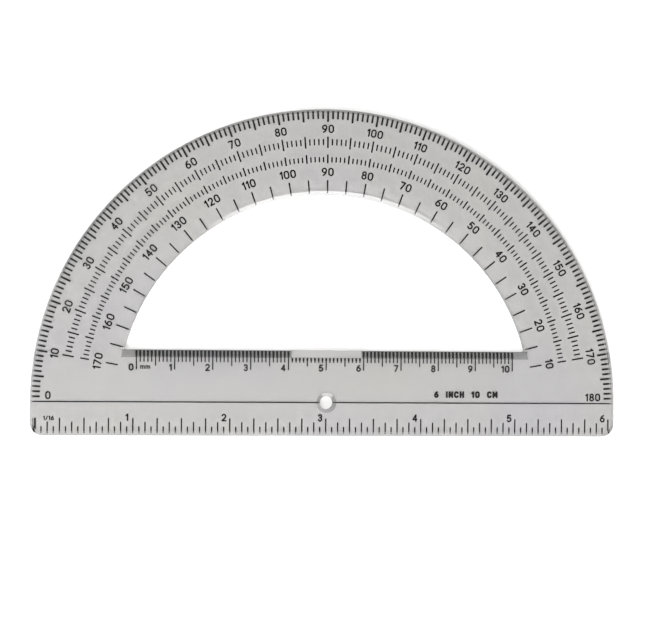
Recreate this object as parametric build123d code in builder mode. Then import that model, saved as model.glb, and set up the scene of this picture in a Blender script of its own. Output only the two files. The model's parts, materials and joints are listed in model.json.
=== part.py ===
"""Clear 180 degree protractor with a ruler window, 6 inch / 10 cm.

Frame: the plate lies flat on the XY plane with its thickness along +Z. The origin is the centre
of the vertex hole, on the face that rests on the paper. +Y points to the 90 degree mark and +X
to the 180 degree end of the outer scale. Millimetres and degrees.

The plate is one clear moulding. Its scales are printed on the back, inside a shallow field with
a narrow lip round it, so that the plate rests on the lip and the ink stays clear of the paper.
Seen from the front the scales read the right way round, through the plate.
"""

from build123d import *
from math import asin, cos, degrees, radians
import os

os.makedirs("parts", exist_ok=True)

# ---------------------------------------------------------------- plate
outer_radius = 77.5
skirt = 8.8                 # from the 0-180 line down to the lower edge
corner_radius = 3.2
thickness = 2.0
rim_bevel_width = 0.9       # flat bevel round the outside, on the front
rim_bevel_depth = 0.6

window_radius = 54.9
window_base = 13.7          # height of the window's straight ruler edge above the 0-180 line
window_corner = 0.5
window_bevel_width = 1.0    # bevel round the window, on the front
window_bevel_depth = 0.6
ruler_bevel_width = 2.0     # wider bevel that thins the straight edge for ruling
ruler_bevel_depth = 1.1
ruler_overrun = 0.4         # how far the ruler bevel runs on past the window's arc

gate_width = 18.6           # land where the moulding gate was trimmed, mid ruler edge
gate_depth = 1.9
gate_sink = 0.3             # its top lies this far under the front face
gate_proud = 0.15           # and its end stands this far into the window

hole_radius = 1.7
hole_mouth_radius = 2.65
hole_cone_angle = 118

# ---------------------------------------------------------------- print
lip = 0.3                   # rim of the back that the plate rests on
print_depth = 0.06          # how deep the print field lies inside the lip
ink_thickness = 0.03
outer_tick_width = 0.5
outer_major_width = 0.52
tick_width = 0.32
major_width = 0.36
ruler_tick_width = 0.33
line_width = 0.3
pen = 0.38                  # stroke width of the figures

scale_radius = 76.75        # the outer scale and the 0-180 line end here, inside the rim bevel
print_edge = window_base - lip
ink_plane = Plane.XY.offset(print_depth - ink_thickness)

# Degree rings: inner and outer radius of the short (1 degree) and long (5 degree) ticks.
outer_short = (75.0, scale_radius)
outer_long = (74.25, scale_radius)
middle_short = (68.05, 69.7)
middle_long = (67.3, 70.35)
inner_short = (63.55, 64.95)
inner_long = (63.3, 65.6)
window_long = (55.65, 58.85)
track_start = 10            # the middle, inner and window rings run from 10 to 170 degrees
long_step = 5
numeral_step = 10

degree_height = 2.2
outer_numeral_radius = 72.4
inner_numeral_radius = 61.0

# Centimetre scale: hangs from the ruler edge, 10 cm centred on the vertex.
centimetre_count = 10
centimetre = 10.0
millimetre_end = 10.5
five_millimetre_end = 9.5
centimetre_end = 8.5
head_width = 0.6            # the ticks are heavier where they lie under the ruler bevel
head_length = 1.7
gate_head_width = 0.48      # and at their cut ends, beside the gate land
gate_head_length = 0.8
centimetre_height = 1.9
centimetre_base = 8.15
centimetre_gap = 0.72       # from a figure's right side to its tick
label_pen = 0.24
label_x = -47.7
label_base = 8.6
label_height = 1.35

# Inch scale: stands on the lower edge, 6 in centred on the vertex.
inch_count = 6
inch = 25.4
inch_foot = -7.8
sixteenth_end = -6.45
eighth_end = -5.25
quarter_end = -4.25
inch_zero_width = 0.5       # the first tick is printed heavier
inch_height = 2.0
inch_base = -5.05
inch_offset = 1.55          # from a figure's middle to its tick
sixteenths_x = -72.7
sixteenths_base = -4.9
sixteenths_height = 1.2

# Figures at the ends of the outer scale, and the size legend.
end_height = 2.1
end_base = 0.6
zero_x = -72.9
end_x = 72.0
legend_x = 37.5
legend_base = 1.35
legend_height = 1.8
legend_pen = 0.5

letter_gap = 0.13           # clear gap between letters, as a share of their height
word_gap = 0.75


# ---------------------------------------------------------------- lettering
# Plain single-stroke figures. Each glyph is drawn on its centre line in a cell one unit high
# and is then traced with the pen and scaled to size.

def on_circle(centre, radius, angle):
    return Vector(*centre) + Vector(radius, 0).rotate(Axis.Z, angle)


def draw_0():
    CenterArc((0.3, 0.7), 0.3, 0, 180)
    Line((0, 0.7), (0, 0.3))
    CenterArc((0.3, 0.3), 0.3, 180, 180)
    Line((0.6, 0.3), (0.6, 0.7))


def draw_1():
    Polyline((0, 0.78), (0.22, 1), (0.22, 0))


def draw_2():
    CenterArc((0.3, 0.72), 0.28, 160, -202)
    Polyline(on_circle((0.3, 0.72), 0.28, -42), (0.02, 0), (0.6, 0))


def draw_3():
    CenterArc((0.28, 0.76), 0.24, 160, -250)
    CenterArc((0.28, 0.26), 0.26, 90, -250)


def draw_4():
    Polyline((0.44, 0), (0.44, 1), (0, 0.28), (0.6, 0.28))


def draw_5():
    Polyline((0.54, 1), (0.12, 1), on_circle((0.28, 0.31), 0.31, 137))
    CenterArc((0.28, 0.31), 0.31, 137, -280)


def draw_6():
    CenterArc((0.3, 0.3), 0.29, 150, 360)
    TangentArc(on_circle((0.3, 0.3), 0.29, 150), (0.46, 1), tangent=(0.12, 1))


def draw_7():
    Polyline((0, 1), (0.58, 1), (0.2, 0))


def draw_8():
    for centre, radius in ((0.76, 0.24), (0.26, 0.27)):
        CenterArc((0.3, centre), radius, 0, 180)
        CenterArc((0.3, centre), radius, 180, 180)


def draw_9():
    CenterArc((0.3, 0.7), 0.29, -30, 360)
    TangentArc(on_circle((0.3, 0.7), 0.29, -30), (0.14, 0), tangent=(-0.12, -1))


def draw_slash():
    Line((0, 0), (0.42, 1))


def draw_c():
    CenterArc((0.3, 0.7), 0.3, 25, 155)
    Line((0, 0.7), (0, 0.3))
    CenterArc((0.3, 0.3), 0.3, 180, 155)


def draw_h():
    Line((0, 0), (0, 1))
    Line((0.56, 0), (0.56, 1))
    Line((0, 0.52), (0.56, 0.52))


def draw_i():
    Line((0, 0), (0, 1))


def draw_n():
    Polyline((0, 0), (0, 1), (0.56, 0), (0.56, 1))


def draw_capital_m():
    Polyline((0, 0), (0, 1), (0.34, 0.3), (0.68, 1), (0.68, 0))


def draw_m():
    Line((0, 0), (0, 0.66))
    for left in (0, 0.44):
        CenterArc((left + 0.22, 0.44), 0.22, 0, 180)
        Line((left + 0.44, 0.44), (left + 0.44, 0))


# Character: how it is drawn, and the width of its centre line in a cell one unit high.
FONT = {
    "0": (draw_0, 0.6), "1": (draw_1, 0.22), "2": (draw_2, 0.6), "3": (draw_3, 0.54),
    "4": (draw_4, 0.6), "5": (draw_5, 0.6), "6": (draw_6, 0.59), "7": (draw_7, 0.58),
    "8": (draw_8, 0.57), "9": (draw_9, 0.59), "/": (draw_slash, 0.42), "C": (draw_c, 0.58),
    "H": (draw_h, 0.56), "I": (draw_i, 0.0), "N": (draw_n, 0.56), "M": (draw_capital_m, 0.68),
    "m": (draw_m, 0.88),
}


def lettering(text, height, stroke, align="centre"):
    """Traced text, its foot on y = 0, centred on x = 0 or ending there (align="right")."""
    cell = height - stroke
    gap = stroke + letter_gap * height
    widths = [cell * (word_gap if char == " " else FONT[char][1]) for char in text]
    overall = sum(widths) + stroke + gap * (len(text) - 1)
    start = stroke / 2 - (overall if align == "right" else overall / 2)
    lefts = [start + sum(widths[:n]) + gap * n for n in range(len(text))]
    figures = {left: glyph(char, cell, stroke) for left, char in zip(lefts, text) if char != " "}
    with BuildSketch() as sketch:
        for left, figure in figures.items():
            with Locations((left, stroke / 2)):
                add(figure)
    return sketch.sketch


def glyph(char, cell, stroke):
    """One figure, traced with a round pen, its centre line standing on the origin."""
    with BuildSketch() as sketch:
        with BuildLine() as run:
            FONT[char][0]()
        for edge in run.edges():
            trace(edge, line_width=stroke / cell)
        with Locations(*[tuple(vertex) for vertex in run.vertices()]):
            Circle(stroke / cell / 2)
        scale(by=cell)
    return sketch.sketch


def radial_place(radius, angle):
    """A place on the circle of that radius, turned so that its +Y points outwards."""
    return Location(Vector(radius, 0).rotate(Axis.Z, angle), (0, 0, angle - 90))


# ---------------------------------------------------------------- tick patterns
def long_ticks(span, width, start, end):
    """Ticks every 5 degrees from start to end, both included."""
    inner, outer = span
    count = (end - start) // long_step + 1
    with BuildSketch() as sketch:
        with PolarLocations((inner + outer) / 2, count, start, end - start, endpoint=True):
            Rectangle(outer - inner, width)
    return sketch.sketch


def short_ticks(span, width, start, end):
    """Ticks on every degree between start and end, leaving out each fifth degree."""
    inner, outer = span
    count = (end - start) // long_step
    with BuildSketch() as sketch:
        for step in range(1, long_step):
            with PolarLocations((inner + outer) / 2, count, start + step, end - start):
                Rectangle(outer - inner, width)
    return sketch.sketch


def upright_ticks(positions, foot, top, width):
    """Vertical ticks at the given x positions, from y = foot to y = top."""
    with BuildSketch() as sketch:
        with Locations(*[(x, (foot + top) / 2) for x in positions]):
            Rectangle(width, top - foot)
    return sketch.sketch


def ruler_ticks(positions, foot, width):
    """Ticks that hang from the ruler edge, with a heavier head under the bevel."""
    clear = [x for x in positions if abs(x) > gate_width / 2]
    under_gate = [x for x in positions if abs(x) <= gate_width / 2]
    with BuildSketch() as sketch:
        add(upright_ticks(clear, foot, print_edge, width))
        add(upright_ticks(clear, print_edge - head_length, print_edge, head_width))
        if under_gate:
            cut_end = window_base - gate_depth
            add(upright_ticks(under_gate, foot, cut_end, width))
            add(upright_ticks(under_gate, cut_end - gate_head_length, cut_end, gate_head_width))
    return sketch.sketch


# ---------------------------------------------------------------- the clear plate
with BuildSketch() as outline:
    with BuildLine():
        CenterArc((0, 0), outer_radius, 0, 180)
        Polyline(
            (-outer_radius, 0), (-outer_radius, -skirt), (outer_radius, -skirt), (outer_radius, 0)
        )
    make_face()
    fillet(outline.vertices().group_by(Axis.Y)[0], corner_radius)

window_start = degrees(asin(window_base / window_radius))
window_half_width = window_radius * cos(radians(window_start))
with BuildSketch() as window:
    with BuildLine():
        CenterArc((0, 0), window_radius, window_start, 180 - 2 * window_start)
        Line((-window_half_width, window_base), (window_half_width, window_base))
    make_face()
    fillet(window.vertices().group_by(Axis.Y)[0], window_corner)

# The cutter for the ruler bevel: a wedge along the straight edge, ending on an arc.
with BuildPart() as ruler_cut:
    with BuildSketch(Plane.YZ.offset(-outer_radius)):
        with BuildLine():
            Polyline(
                (window_base - ruler_bevel_width, thickness),
                (window_base, thickness - ruler_bevel_depth),
                (window_base, thickness),
                close=True,
            )
        make_face()
    extrude(amount=2 * outer_radius)
    Cylinder(window_radius + ruler_overrun, 2 * thickness, mode=Mode.INTERSECT)

with BuildPart() as plate:
    with BuildSketch():
        add(outline.sketch)
    extrude(amount=thickness)
    front = plate.faces().sort_by(Axis.Z)[-1]
    chamfer(front.edges(), rim_bevel_width, rim_bevel_depth, reference=front)

    with BuildSketch():
        add(window.sketch)
    extrude(amount=thickness, mode=Mode.SUBTRACT)
    front = plate.faces().sort_by(Axis.Z)[-1]
    chamfer(
        front.inner_wires()[0].edges(), window_bevel_width, window_bevel_depth, reference=front
    )

    add(ruler_cut.part, mode=Mode.SUBTRACT)

    # The gate land: a flat step that interrupts the ruler bevel.
    gate_middle = window_base + (gate_proud - gate_depth) / 2
    with BuildSketch(Plane.XY.offset(thickness - gate_sink)):
        with Locations((0, gate_middle)):
            Rectangle(gate_width, gate_depth + gate_proud)
    extrude(amount=gate_sink, mode=Mode.SUBTRACT)
    with BuildSketch():
        with Locations((0, gate_middle)):
            Rectangle(gate_width, gate_depth + gate_proud)
    extrude(amount=thickness - gate_sink)

    # The vertex hole, countersunk on the front.
    with Locations((0, 0, thickness)):
        CounterSinkHole(hole_radius, hole_mouth_radius, thickness, hole_cone_angle)

    # The print field on the back, a lip's width inside every edge.
    with BuildSketch():
        add(outline.sketch)
        offset(amount=-lip, kind=Kind.ARC)
        offset(window.sketch, amount=lip, mode=Mode.SUBTRACT)
        Circle(hole_radius + lip, mode=Mode.SUBTRACT)
    extrude(amount=print_depth, mode=Mode.SUBTRACT)
plate.part.label = "plate"
export_step(plate.part, "parts/plate.step")


# ---------------------------------------------------------------- degree scales
with BuildPart() as outer_degree_ticks:
    with BuildSketch(ink_plane):
        add(short_ticks(outer_short, outer_tick_width, 0, 180))
    extrude(amount=ink_thickness)
outer_degree_ticks.part.label = "outer_degree_ticks"
export_step(outer_degree_ticks.part, "parts/outer_degree_ticks.step")

with BuildPart() as outer_five_degree_ticks:
    with BuildSketch(ink_plane):
        add(long_ticks(outer_long, outer_major_width, long_step, 180 - long_step))
    extrude(amount=ink_thickness)
outer_five_degree_ticks.part.label = "outer_five_degree_ticks"
export_step(outer_five_degree_ticks.part, "parts/outer_five_degree_ticks.step")

with BuildPart() as middle_degree_ticks:
    with BuildSketch(ink_plane):
        add(short_ticks(middle_short, tick_width, track_start, 180 - track_start))
    extrude(amount=ink_thickness)
middle_degree_ticks.part.label = "middle_degree_ticks"
export_step(middle_degree_ticks.part, "parts/middle_degree_ticks.step")

with BuildPart() as middle_five_degree_ticks:
    with BuildSketch(ink_plane):
        add(long_ticks(middle_long, major_width, track_start, 180 - track_start))
    extrude(amount=ink_thickness)
middle_five_degree_ticks.part.label = "middle_five_degree_ticks"
export_step(middle_five_degree_ticks.part, "parts/middle_five_degree_ticks.step")

with BuildPart() as inner_degree_ticks:
    with BuildSketch(ink_plane):
        add(short_ticks(inner_short, tick_width, track_start, 180 - track_start))
    extrude(amount=ink_thickness)
inner_degree_ticks.part.label = "inner_degree_ticks"
export_step(inner_degree_ticks.part, "parts/inner_degree_ticks.step")

with BuildPart() as inner_five_degree_ticks:
    with BuildSketch(ink_plane):
        add(long_ticks(inner_long, major_width, track_start, 180 - track_start))
    extrude(amount=ink_thickness)
inner_five_degree_ticks.part.label = "inner_five_degree_ticks"
export_step(inner_five_degree_ticks.part, "parts/inner_five_degree_ticks.step")

with BuildPart() as window_degree_ticks:
    with BuildSketch(ink_plane):
        add(long_ticks(window_long, major_width, track_start, 180 - track_start))
    extrude(amount=ink_thickness)
window_degree_ticks.part.label = "window_degree_ticks"
export_step(window_degree_ticks.part, "parts/window_degree_ticks.step")

figured_degrees = range(numeral_step, 180, numeral_step)
degree_figures = {v: lettering(str(v), degree_height, pen) for v in figured_degrees}
end_figures = {zero_x: lettering("0", end_height, pen), end_x: lettering("180", end_height, pen)}

# The outer figures count clockwise, from 0 at the left end of the arc to 180 at the right.
with BuildPart() as outer_degree_numerals:
    with BuildSketch(ink_plane):
        for value, figure in degree_figures.items():
            with Locations(radial_place(outer_numeral_radius - degree_height / 2, 180 - value)):
                add(figure)
        for x, figure in end_figures.items():
            with Locations((x, end_base)):
                add(figure)
    extrude(amount=ink_thickness)
outer_degree_numerals.part.label = "outer_degree_numerals"
export_step(outer_degree_numerals.part, "parts/outer_degree_numerals.step")

# The inner figures count the other way.
with BuildPart() as inner_degree_numerals:
    with BuildSketch(ink_plane):
        for value, figure in degree_figures.items():
            with Locations(radial_place(inner_numeral_radius - degree_height / 2, value)):
                add(figure)
    extrude(amount=ink_thickness)
inner_degree_numerals.part.label = "inner_degree_numerals"
export_step(inner_degree_numerals.part, "parts/inner_degree_numerals.step")

# The 0-180 line, broken at the vertex hole.
with BuildPart() as zero_line:
    with BuildSketch(ink_plane):
        inner_end = hole_radius + lip
        for side in (-1, 1):
            with Locations((side * (inner_end + scale_radius) / 2, 0)):
                Rectangle(scale_radius - inner_end, line_width)
    extrude(amount=ink_thickness)
zero_line.part.label = "zero_line"
export_step(zero_line.part, "parts/zero_line.step")


# ---------------------------------------------------------------- centimetre scale
half_span = centimetre_count * centimetre / 2
millimetres = range(int(centimetre_count * centimetre) + 1)

with BuildPart() as millimetre_ticks:
    with BuildSketch(ink_plane):
        marks = [mm - half_span for mm in millimetres if mm % 5]
        add(ruler_ticks(marks, millimetre_end, ruler_tick_width))
    extrude(amount=ink_thickness)
millimetre_ticks.part.label = "millimetre_ticks"
export_step(millimetre_ticks.part, "parts/millimetre_ticks.step")

with BuildPart() as five_millimetre_ticks:
    with BuildSketch(ink_plane):
        marks = [mm - half_span for mm in millimetres if mm % 10 == 5]
        add(ruler_ticks(marks, five_millimetre_end, ruler_tick_width))
    extrude(amount=ink_thickness)
five_millimetre_ticks.part.label = "five_millimetre_ticks"
export_step(five_millimetre_ticks.part, "parts/five_millimetre_ticks.step")

with BuildPart() as centimetre_ticks:
    with BuildSketch(ink_plane):
        marks = [mm - half_span for mm in millimetres if mm % 10 == 0]
        add(ruler_ticks(marks, centimetre_end, ruler_tick_width))
    extrude(amount=ink_thickness)
centimetre_ticks.part.label = "centimetre_ticks"
export_step(centimetre_ticks.part, "parts/centimetre_ticks.step")

centimetre_figures = [
    lettering(str(value), centimetre_height, pen, "right") for value in range(centimetre_count + 1)
]
with BuildPart() as centimetre_numerals:
    with BuildSketch(ink_plane):
        for value, figure in enumerate(centimetre_figures):
            with Locations((value * centimetre - half_span - centimetre_gap, centimetre_base)):
                add(figure)
    extrude(amount=ink_thickness)
centimetre_numerals.part.label = "centimetre_numerals"
export_step(centimetre_numerals.part, "parts/centimetre_numerals.step")

unit_letters = lettering("mm", label_height, label_pen)
with BuildPart() as millimetre_label:
    with BuildSketch(ink_plane):
        with Locations((label_x, label_base)):
            add(unit_letters)
    extrude(amount=ink_thickness)
millimetre_label.part.label = "millimetre_label"
export_step(millimetre_label.part, "parts/millimetre_label.step")


# ---------------------------------------------------------------- inch scale
sixteenths = range(inch_count * 16 + 1)
inch_start = -inch_count * inch / 2

with BuildPart() as sixteenth_inch_ticks:
    with BuildSketch(ink_plane):
        marks = [inch_start + n * inch / 16 for n in sixteenths if n % 2]
        add(upright_ticks(marks, inch_foot, sixteenth_end, tick_width))
    extrude(amount=ink_thickness)
sixteenth_inch_ticks.part.label = "sixteenth_inch_ticks"
export_step(sixteenth_inch_ticks.part, "parts/sixteenth_inch_ticks.step")

with BuildPart() as eighth_inch_ticks:
    with BuildSketch(ink_plane):
        marks = [inch_start + n * inch / 16 for n in sixteenths if n % 4 == 2]
        add(upright_ticks(marks, inch_foot, eighth_end, tick_width))
    extrude(amount=ink_thickness)
eighth_inch_ticks.part.label = "eighth_inch_ticks"
export_step(eighth_inch_ticks.part, "parts/eighth_inch_ticks.step")

with BuildPart() as quarter_inch_ticks:
    with BuildSketch(ink_plane):
        marks = [inch_start + n * inch / 16 for n in sixteenths if n % 4 == 0]
        add(upright_ticks(marks[:1], inch_foot, quarter_end, inch_zero_width))
        add(upright_ticks(marks[1:], inch_foot, quarter_end, tick_width))
    extrude(amount=ink_thickness)
quarter_inch_ticks.part.label = "quarter_inch_ticks"
export_step(quarter_inch_ticks.part, "parts/quarter_inch_ticks.step")

inch_figures = [lettering(str(value), inch_height, pen) for value in range(1, inch_count + 1)]
with BuildPart() as inch_numerals:
    with BuildSketch(ink_plane):
        for value, figure in enumerate(inch_figures, start=1):
            with Locations((inch_start + value * inch - inch_offset, inch_base)):
                add(figure)
    extrude(amount=ink_thickness)
inch_numerals.part.label = "inch_numerals"
export_step(inch_numerals.part, "parts/inch_numerals.step")

sixteenths_letters = lettering("1/16", sixteenths_height, label_pen)
with BuildPart() as sixteenths_label:
    with BuildSketch(ink_plane):
        with Locations((sixteenths_x, sixteenths_base)):
            add(sixteenths_letters)
    extrude(amount=ink_thickness)
sixteenths_label.part.label = "sixteenths_label"
export_step(sixteenths_label.part, "parts/sixteenths_label.step")


# ---------------------------------------------------------------- size legend
legend_letters = lettering("6 INCH 10 CM", legend_height, legend_pen)
with BuildPart() as size_legend:
    with BuildSketch(ink_plane):
        with Locations((legend_x, legend_base)):
            add(legend_letters)
    extrude(amount=ink_thickness)
size_legend.part.label = "size_legend"
export_step(size_legend.part, "parts/size_legend.step")
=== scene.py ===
"""Looks for the clear 180 degree protractor: clear moulded plastic, printed ink, studio, camera."""

import json
import math

import bpy
from mathutils import Matrix, Vector


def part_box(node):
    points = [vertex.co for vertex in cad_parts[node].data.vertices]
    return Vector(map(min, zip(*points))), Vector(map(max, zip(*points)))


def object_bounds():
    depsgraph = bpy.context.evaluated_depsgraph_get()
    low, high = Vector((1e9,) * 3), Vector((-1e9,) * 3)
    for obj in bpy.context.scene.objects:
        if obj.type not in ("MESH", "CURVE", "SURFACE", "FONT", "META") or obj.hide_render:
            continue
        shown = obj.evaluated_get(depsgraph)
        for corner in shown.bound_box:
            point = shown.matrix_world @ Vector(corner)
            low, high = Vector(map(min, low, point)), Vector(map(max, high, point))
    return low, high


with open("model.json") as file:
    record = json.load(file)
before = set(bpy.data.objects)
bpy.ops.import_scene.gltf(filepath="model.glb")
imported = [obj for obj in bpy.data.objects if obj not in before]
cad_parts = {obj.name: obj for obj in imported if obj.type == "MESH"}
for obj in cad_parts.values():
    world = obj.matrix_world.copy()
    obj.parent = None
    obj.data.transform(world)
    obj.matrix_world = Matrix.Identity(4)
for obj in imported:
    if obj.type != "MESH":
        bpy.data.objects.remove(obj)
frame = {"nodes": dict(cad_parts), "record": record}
CAD_LOW, CAD_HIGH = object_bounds()

MM = 0.001

# ---------------------------------------------------------------- camera and studio
# The camera is aimed a little below the plate's middle and looks from a little to the left.
AIM_OFFSET = Vector((1.4 * MM, -11.45 * MM, 0.0))
CAMERA_OFFSET = Vector((-67.6 * MM, -3.9 * MM, 577.8 * MM))
CAMERA_ROLL = 0.0079
CAMERA_LENS = 119.3
SENSOR_WIDTH = 36.0
CLIP_START = 0.01
CLIP_END = 20.0

FLOOR_GAP = 0.1 * MM
FLOOR_SIZE = 6.0
FLOOR_COLOUR = (0.88, 0.88, 0.87, 1.0)
FLOOR_ROUGHNESS = 0.9

WORLD_COLOUR = (1.0, 1.0, 1.0, 1.0)
WORLD_STRENGTH = 0.83
SOFTBOX_DISTANCE = 0.9
SOFTBOXES = {  # azimuth and elevation in degrees, width and height in metres, radiance
    "key": (215.0, 62.0, 0.45, 0.45, 5.5),
    "front_strip": (272.0, 31.0, 1.05, 0.22, 16.0),
    "left_strip": (180.0, 20.0, 0.8, 0.16, 5.0),
}

# ---------------------------------------------------------------- where the satiny bevels with painted shade are
# A bevel is told from level faces and upright walls by how far its normal stands up. The bevels
# along the ruler edge, round the rim and in the mouth of the vertex hole are satiny and darker:
# the darker tint is painted shade, standing in for light lost in them.
BEVEL_NORMAL = (0.3, 0.97)
PRINT_LIP = 0.3 * MM  # the ticks stop this far short of the ruler edge
RULER_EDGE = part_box("centimetre_ticks")[1].y + PRINT_LIP
# Painted shade: the bevel in this strip along the ruler edge is darkened.
RULER_STRIP = (RULER_EDGE - 2.7 * MM, RULER_EDGE + 0.1 * MM)
RIM_RADIUS = CAD_HIGH.y - 1.1 * MM  # just inside the bevel round the rim
# Painted shade on the rim bevel: darker towards the top, the side turned away from the softboxes.
RIM_FADE = (-2.0 * MM, 45.0 * MM)  # the rim grows darker between these heights above the 0-180 line
RIM_SHADE = (0.25, 0.9)
# Painted shade also darkens the countersunk mouth of the vertex hole.
HOLE = next(mount for mount in frame["record"]["mounts"] if mount["name"] == "vertex_hole")
MOUTH_RADIUS = (HOLE["dims"]["r_mm"] + 1.1) * MM  # just outside the countersink
MOUTH_SHADE = 0.85

# ---------------------------------------------------------------- clear plastic
# Tints follow a cloudy noise: (place on the noise, colour).
FACE_TINT = ((0.3, (0.80, 0.798, 0.782)), (0.5, (0.80, 0.793, 0.792)), (0.7, (0.787, 0.78, 0.797)))
# Painted shade: the dark tint laid on the shaded bevels.
BEVEL_SHADE_TINT = ((0.3, (0.33, 0.33, 0.32)), (0.7, (0.3, 0.3, 0.31)))
PLASTIC_IOR = 1.5
EDGE_ROUGHNESS = 0.22
SATIN_ROUGHNESS = 0.16
POLISH_ROUGHNESS = (0.015, 0.06)  # from clean to worn
WEAR_RANGE = (0.0, 0.5)
SCUFF_RANGE = (0.5, 0.75)
SCUFF_STRETCH = (1.0, 0.06, 1.0)
SCUFF_TURN = 0.5
SCUFF_RELIEF = 0.01  # height of the scuffs, as a share of the ripple's
RIPPLE_STRENGTH = 0.008
RIPPLE_DEPTH = 0.1 * MM

# ---------------------------------------------------------------- black ink
INK_TINT = ((0.3, (0.008, 0.008, 0.009)), (0.75, (0.035, 0.034, 0.034)))
INK_WEIGHT_RANGE = (0.3, 0.7)
INK_ROUGHNESS = (0.35, 0.6)
INK_BUMP_STRENGTH = 0.2
INK_BUMP_DEPTH = 0.01 * MM

# Noise scales, per metre, and the detail of the cloudier ones.
CLOUD_SCALE = 28.0
SMUDGE_SCALE = 60.0
RIPPLE_SCALE = 120.0
SCUFF_SCALE = 900.0
INK_SCALE = 1500.0
FINE_DETAIL = 3.0


# ---------------------------------------------------------------- node helpers
class Nodes:
    """A material's node tree, with short calls for the nodes used here."""

    def __init__(self, name):
        self.material = bpy.data.materials.new(name)
        self.material.use_nodes = True
        self.tree = self.material.node_tree
        self.shader = self.tree.nodes["Principled BSDF"]
        self.place = self.tree.nodes.new("ShaderNodeTexCoord").outputs["Object"]

    def link(self, source, target):
        self.tree.links.new(source, target)

    def stretch(self, scale, turn):
        """Object coordinates, scaled by axis and turned about Z."""
        node = self.tree.nodes.new("ShaderNodeMapping")
        node.inputs["Scale"].default_value = scale
        node.inputs["Rotation"].default_value = (0.0, 0.0, turn)
        self.link(self.place, node.inputs["Vector"])
        return node.outputs["Vector"]

    def noise(self, scale, detail=2.0, vector=None):
        node = self.tree.nodes.new("ShaderNodeTexNoise")
        node.inputs["Scale"].default_value = scale
        node.inputs["Detail"].default_value = detail
        self.link(vector or self.place, node.inputs["Vector"])
        return node.outputs["Fac"]

    def remap(self, value, source, target):
        """Takes a value from the source range to the target range, and clamps it there."""
        node = self.tree.nodes.new("ShaderNodeMapRange")
        node.inputs["From Min"].default_value = source[0]
        node.inputs["From Max"].default_value = source[1]
        node.inputs["To Min"].default_value = target[0]
        node.inputs["To Max"].default_value = target[1]
        self.link(value, node.inputs["Value"])
        return node.outputs["Result"]

    def ramp(self, value, stops):
        node = self.tree.nodes.new("ShaderNodeValToRGB")
        while len(node.color_ramp.elements) < len(stops):
            node.color_ramp.elements.new(0.5)
        for element, (position, colour) in zip(node.color_ramp.elements, stops):
            element.position = position
            element.color = (*colour, 1.0)
        self.link(value, node.inputs["Fac"])
        return node.outputs["Color"]

    def separate(self, vector):
        node = self.tree.nodes.new("ShaderNodeSeparateXYZ")
        self.link(vector, node.inputs["Vector"])
        return node.outputs

    def math(self, operation, *values):
        node = self.tree.nodes.new("ShaderNodeMath")
        node.operation = operation
        for socket, value in zip(node.inputs, values):
            if isinstance(value, (int, float)):
                socket.default_value = value
            else:
                self.link(value, socket)
        return node.outputs["Value"]

    def largest(self, first, *others):
        for other in others:
            first = self.math("MAXIMUM", first, other)
        return first

    def between(self, value, low, high):
        return self.math(
            "MULTIPLY",
            self.math("GREATER_THAN", value, low),
            self.math("LESS_THAN", value, high),
        )

    def bevels(self):
        """1 on bevels, 0 on level faces and upright walls."""
        normal = self.tree.nodes.new("ShaderNodeNewGeometry").outputs["True Normal"]
        return self.between(self.math("ABSOLUTE", self.separate(normal)["Z"]), *BEVEL_NORMAL)

    def radius(self):
        """Distance from the vertex hole's axis."""
        x, y, _ = self.separate(self.place)
        squares = self.math("ADD", self.math("MULTIPLY", x, x), self.math("MULTIPLY", y, y))
        return self.math("SQRT", squares)

    def mix(self, factor, a, b):
        """Mixes two colours. The node's sockets share their names, so identifiers pick them."""
        node = self.tree.nodes.new("ShaderNodeMix")
        node.data_type = "RGBA"
        sockets = {socket.identifier: socket for socket in node.inputs}
        self.link(factor, sockets["Factor_Float"])
        self.link(a, sockets["A_Color"])
        self.link(b, sockets["B_Color"])
        return next(out for out in node.outputs if out.identifier == "Result_Color")

    def bump(self, height, strength, distance):
        node = self.tree.nodes.new("ShaderNodeBump")
        node.inputs["Strength"].default_value = strength
        node.inputs["Distance"].default_value = distance
        self.link(height, node.inputs["Height"])
        self.link(node.outputs["Normal"], self.shader.inputs["Normal"])


# ---------------------------------------------------------------- materials
def shade_and_satin_mask(nodes, edge):
    """Painted shade and satiny finish: 0 on polished faces, up to 1 on the shaded bevels."""
    y = nodes.separate(nodes.place)["Y"]
    rim = nodes.math("GREATER_THAN", nodes.radius(), RIM_RADIUS)
    # Painted shade: the rim bevel darkens towards the top, away from the softboxes.
    rim_shade = nodes.math("MULTIPLY", rim, nodes.remap(y, RIM_FADE, RIM_SHADE))
    ruler_shade = nodes.between(y, *RULER_STRIP)
    mouth = nodes.math("LESS_THAN", nodes.radius(), MOUTH_RADIUS)
    mouth_shade = nodes.math("MULTIPLY", mouth, MOUTH_SHADE)
    return nodes.math("MULTIPLY", edge, nodes.largest(rim_shade, ruler_shade, mouth_shade))


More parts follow.
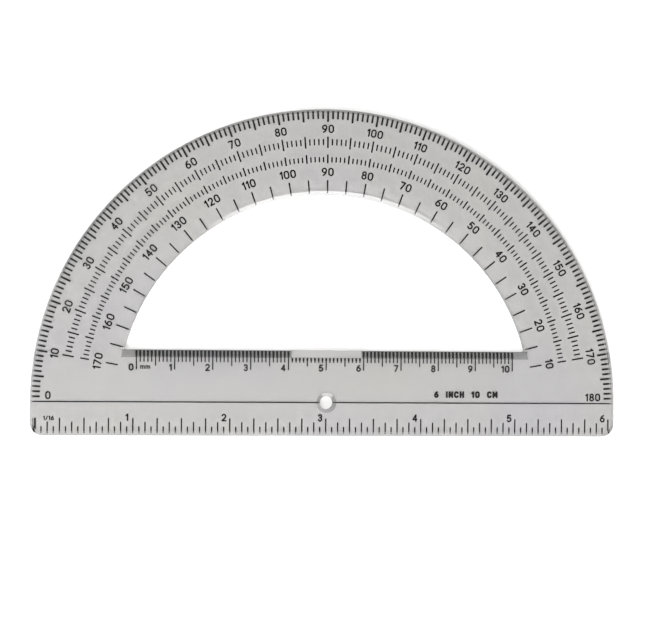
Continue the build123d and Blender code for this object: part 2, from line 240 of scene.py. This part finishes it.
def clear_plastic():
    """Clear moulded polystyrene: faint grey polished faces, satiny bevels with painted shade."""
    nodes = Nodes("clear_plastic")
    edge = nodes.bevels()
    shade_and_satin = shade_and_satin_mask(nodes, edge)
    cloud = nodes.noise(CLOUD_SCALE, FINE_DETAIL)
    # The mix lays painted shade, the dark bevel tint, over the face tint on the masked bevels.
    tint = nodes.mix(shade_and_satin, nodes.ramp(cloud, FACE_TINT), nodes.ramp(cloud, BEVEL_SHADE_TINT))
    nodes.link(tint, nodes.shader.inputs["Base Color"])
    nodes.shader.inputs["Transmission Weight"].default_value = 1.0
    nodes.shader.inputs["IOR"].default_value = PLASTIC_IOR

    # Fine scuffs, all in one direction, show most where the face is smudged.
    scuffs = nodes.noise(SCUFF_SCALE, vector=nodes.stretch(SCUFF_STRETCH, SCUFF_TURN))
    smudges = nodes.noise(SMUDGE_SCALE, FINE_DETAIL)
    wear = nodes.math("MULTIPLY", nodes.remap(scuffs, SCUFF_RANGE, (0.0, 1.0)), smudges)
    polish = nodes.remap(wear, WEAR_RANGE, POLISH_ROUGHNESS)
    cut = nodes.math("MULTIPLY", edge, EDGE_ROUGHNESS)
    rubbed = nodes.math("MULTIPLY", shade_and_satin, SATIN_ROUGHNESS)
    nodes.link(nodes.largest(polish, cut, rubbed), nodes.shader.inputs["Roughness"])

    ripple = nodes.noise(RIPPLE_SCALE)
    relief = nodes.math("ADD", ripple, nodes.math("MULTIPLY", scuffs, SCUFF_RELIEF))
    nodes.bump(relief, RIPPLE_STRENGTH, RIPPLE_DEPTH)
    return nodes.material


def black_ink():
    """Printed black ink, slightly uneven in weight."""
    nodes = Nodes("black_ink")
    weight = nodes.noise(INK_SCALE, FINE_DETAIL)
    nodes.link(nodes.ramp(weight, INK_TINT), nodes.shader.inputs["Base Color"])
    roughness = nodes.remap(weight, INK_WEIGHT_RANGE, INK_ROUGHNESS)
    nodes.link(roughness, nodes.shader.inputs["Roughness"])
    nodes.bump(weight, INK_BUMP_STRENGTH, INK_BUMP_DEPTH)
    return nodes.material


def dress_nodes():
    """Gives each CAD node the material of its slot."""
    slot_materials = {"clear_plastic": clear_plastic(), "black_ink": black_ink()}
    for entry in frame["record"]["subparts"]:
        node = frame["nodes"][entry["node"]]
        node.data.materials.clear()
        node.data.materials.append(slot_materials[entry["material_slot"]])


# ---------------------------------------------------------------- studio
def make_floor():
    """A plain pale floor just under the plate."""
    mesh = bpy.data.meshes.new("floor")
    half = FLOOR_SIZE / 2
    low = CAD_LOW.z - FLOOR_GAP
    corners = [(-half, -half, low), (half, -half, low), (half, half, low), (-half, half, low)]
    mesh.from_pydata(corners, [], [(0, 1, 2, 3)])
    floor = bpy.data.objects.new("floor", mesh)
    bpy.context.scene.collection.objects.link(floor)
    material = bpy.data.materials.new("floor")
    material.use_nodes = True
    shader = material.node_tree.nodes["Principled BSDF"]
    shader.inputs["Base Color"].default_value = FLOOR_COLOUR
    shader.inputs["Roughness"].default_value = FLOOR_ROUGHNESS
    mesh.materials.append(material)


def add_softbox(name, azimuth, elevation, width, height, radiance):
    """A rectangular light that faces the origin. Its azimuth is measured from +X."""
    light = bpy.data.lights.new(name, "AREA")
    light.shape = "RECTANGLE"
    light.size = width
    light.size_y = height
    light.energy = radiance * math.pi * width * height
    lamp = bpy.data.objects.new(name, light)
    bpy.context.scene.collection.objects.link(lamp)
    turn, rise = math.radians(azimuth), math.radians(elevation)
    towards = Vector(
        (math.cos(turn) * math.cos(rise), math.sin(turn) * math.cos(rise), math.sin(rise))
    )
    lamp.location = SOFTBOX_DISTANCE * towards
    lamp.rotation_mode = "QUATERNION"
    lamp.rotation_quaternion = towards.to_track_quat("Z", "Y")


def make_lights():
    """An even white surround and the softboxes."""
    world = bpy.data.worlds.new("studio")
    world.use_nodes = True
    background = world.node_tree.nodes["Background"]
    background.inputs["Color"].default_value = WORLD_COLOUR
    background.inputs["Strength"].default_value = WORLD_STRENGTH
    bpy.context.scene.world = world
    for name, placing in SOFTBOXES.items():
        add_softbox(name, *placing)


def make_camera():
    """The main camera, nearly overhead, with +Y almost straight up in its picture."""
    camera = bpy.data.objects.new("camera", bpy.data.cameras.new("camera"))
    bpy.context.scene.collection.objects.link(camera)
    bpy.context.scene.camera = camera
    camera.data.lens = CAMERA_LENS
    camera.data.sensor_width = SENSOR_WIDTH
    middle = (CAD_LOW + CAD_HIGH) / 2
    aim = Vector((middle.x, middle.y, 0.0)) + AIM_OFFSET
    back = CAMERA_OFFSET.normalized()
    right = Vector((-CAMERA_ROLL, 1.0, 0.0)).cross(back).normalized()
    turn = Matrix((right, back.cross(right), back)).transposed()
    camera.matrix_world = Matrix.Translation(aim + CAMERA_OFFSET) @ turn.to_4x4()
    camera.data.clip_start = CLIP_START
    camera.data.clip_end = CLIP_END


dress_nodes()
make_floor()
make_lights()
make_camera()
bpy.context.scene.view_settings.view_transform = "Standard"
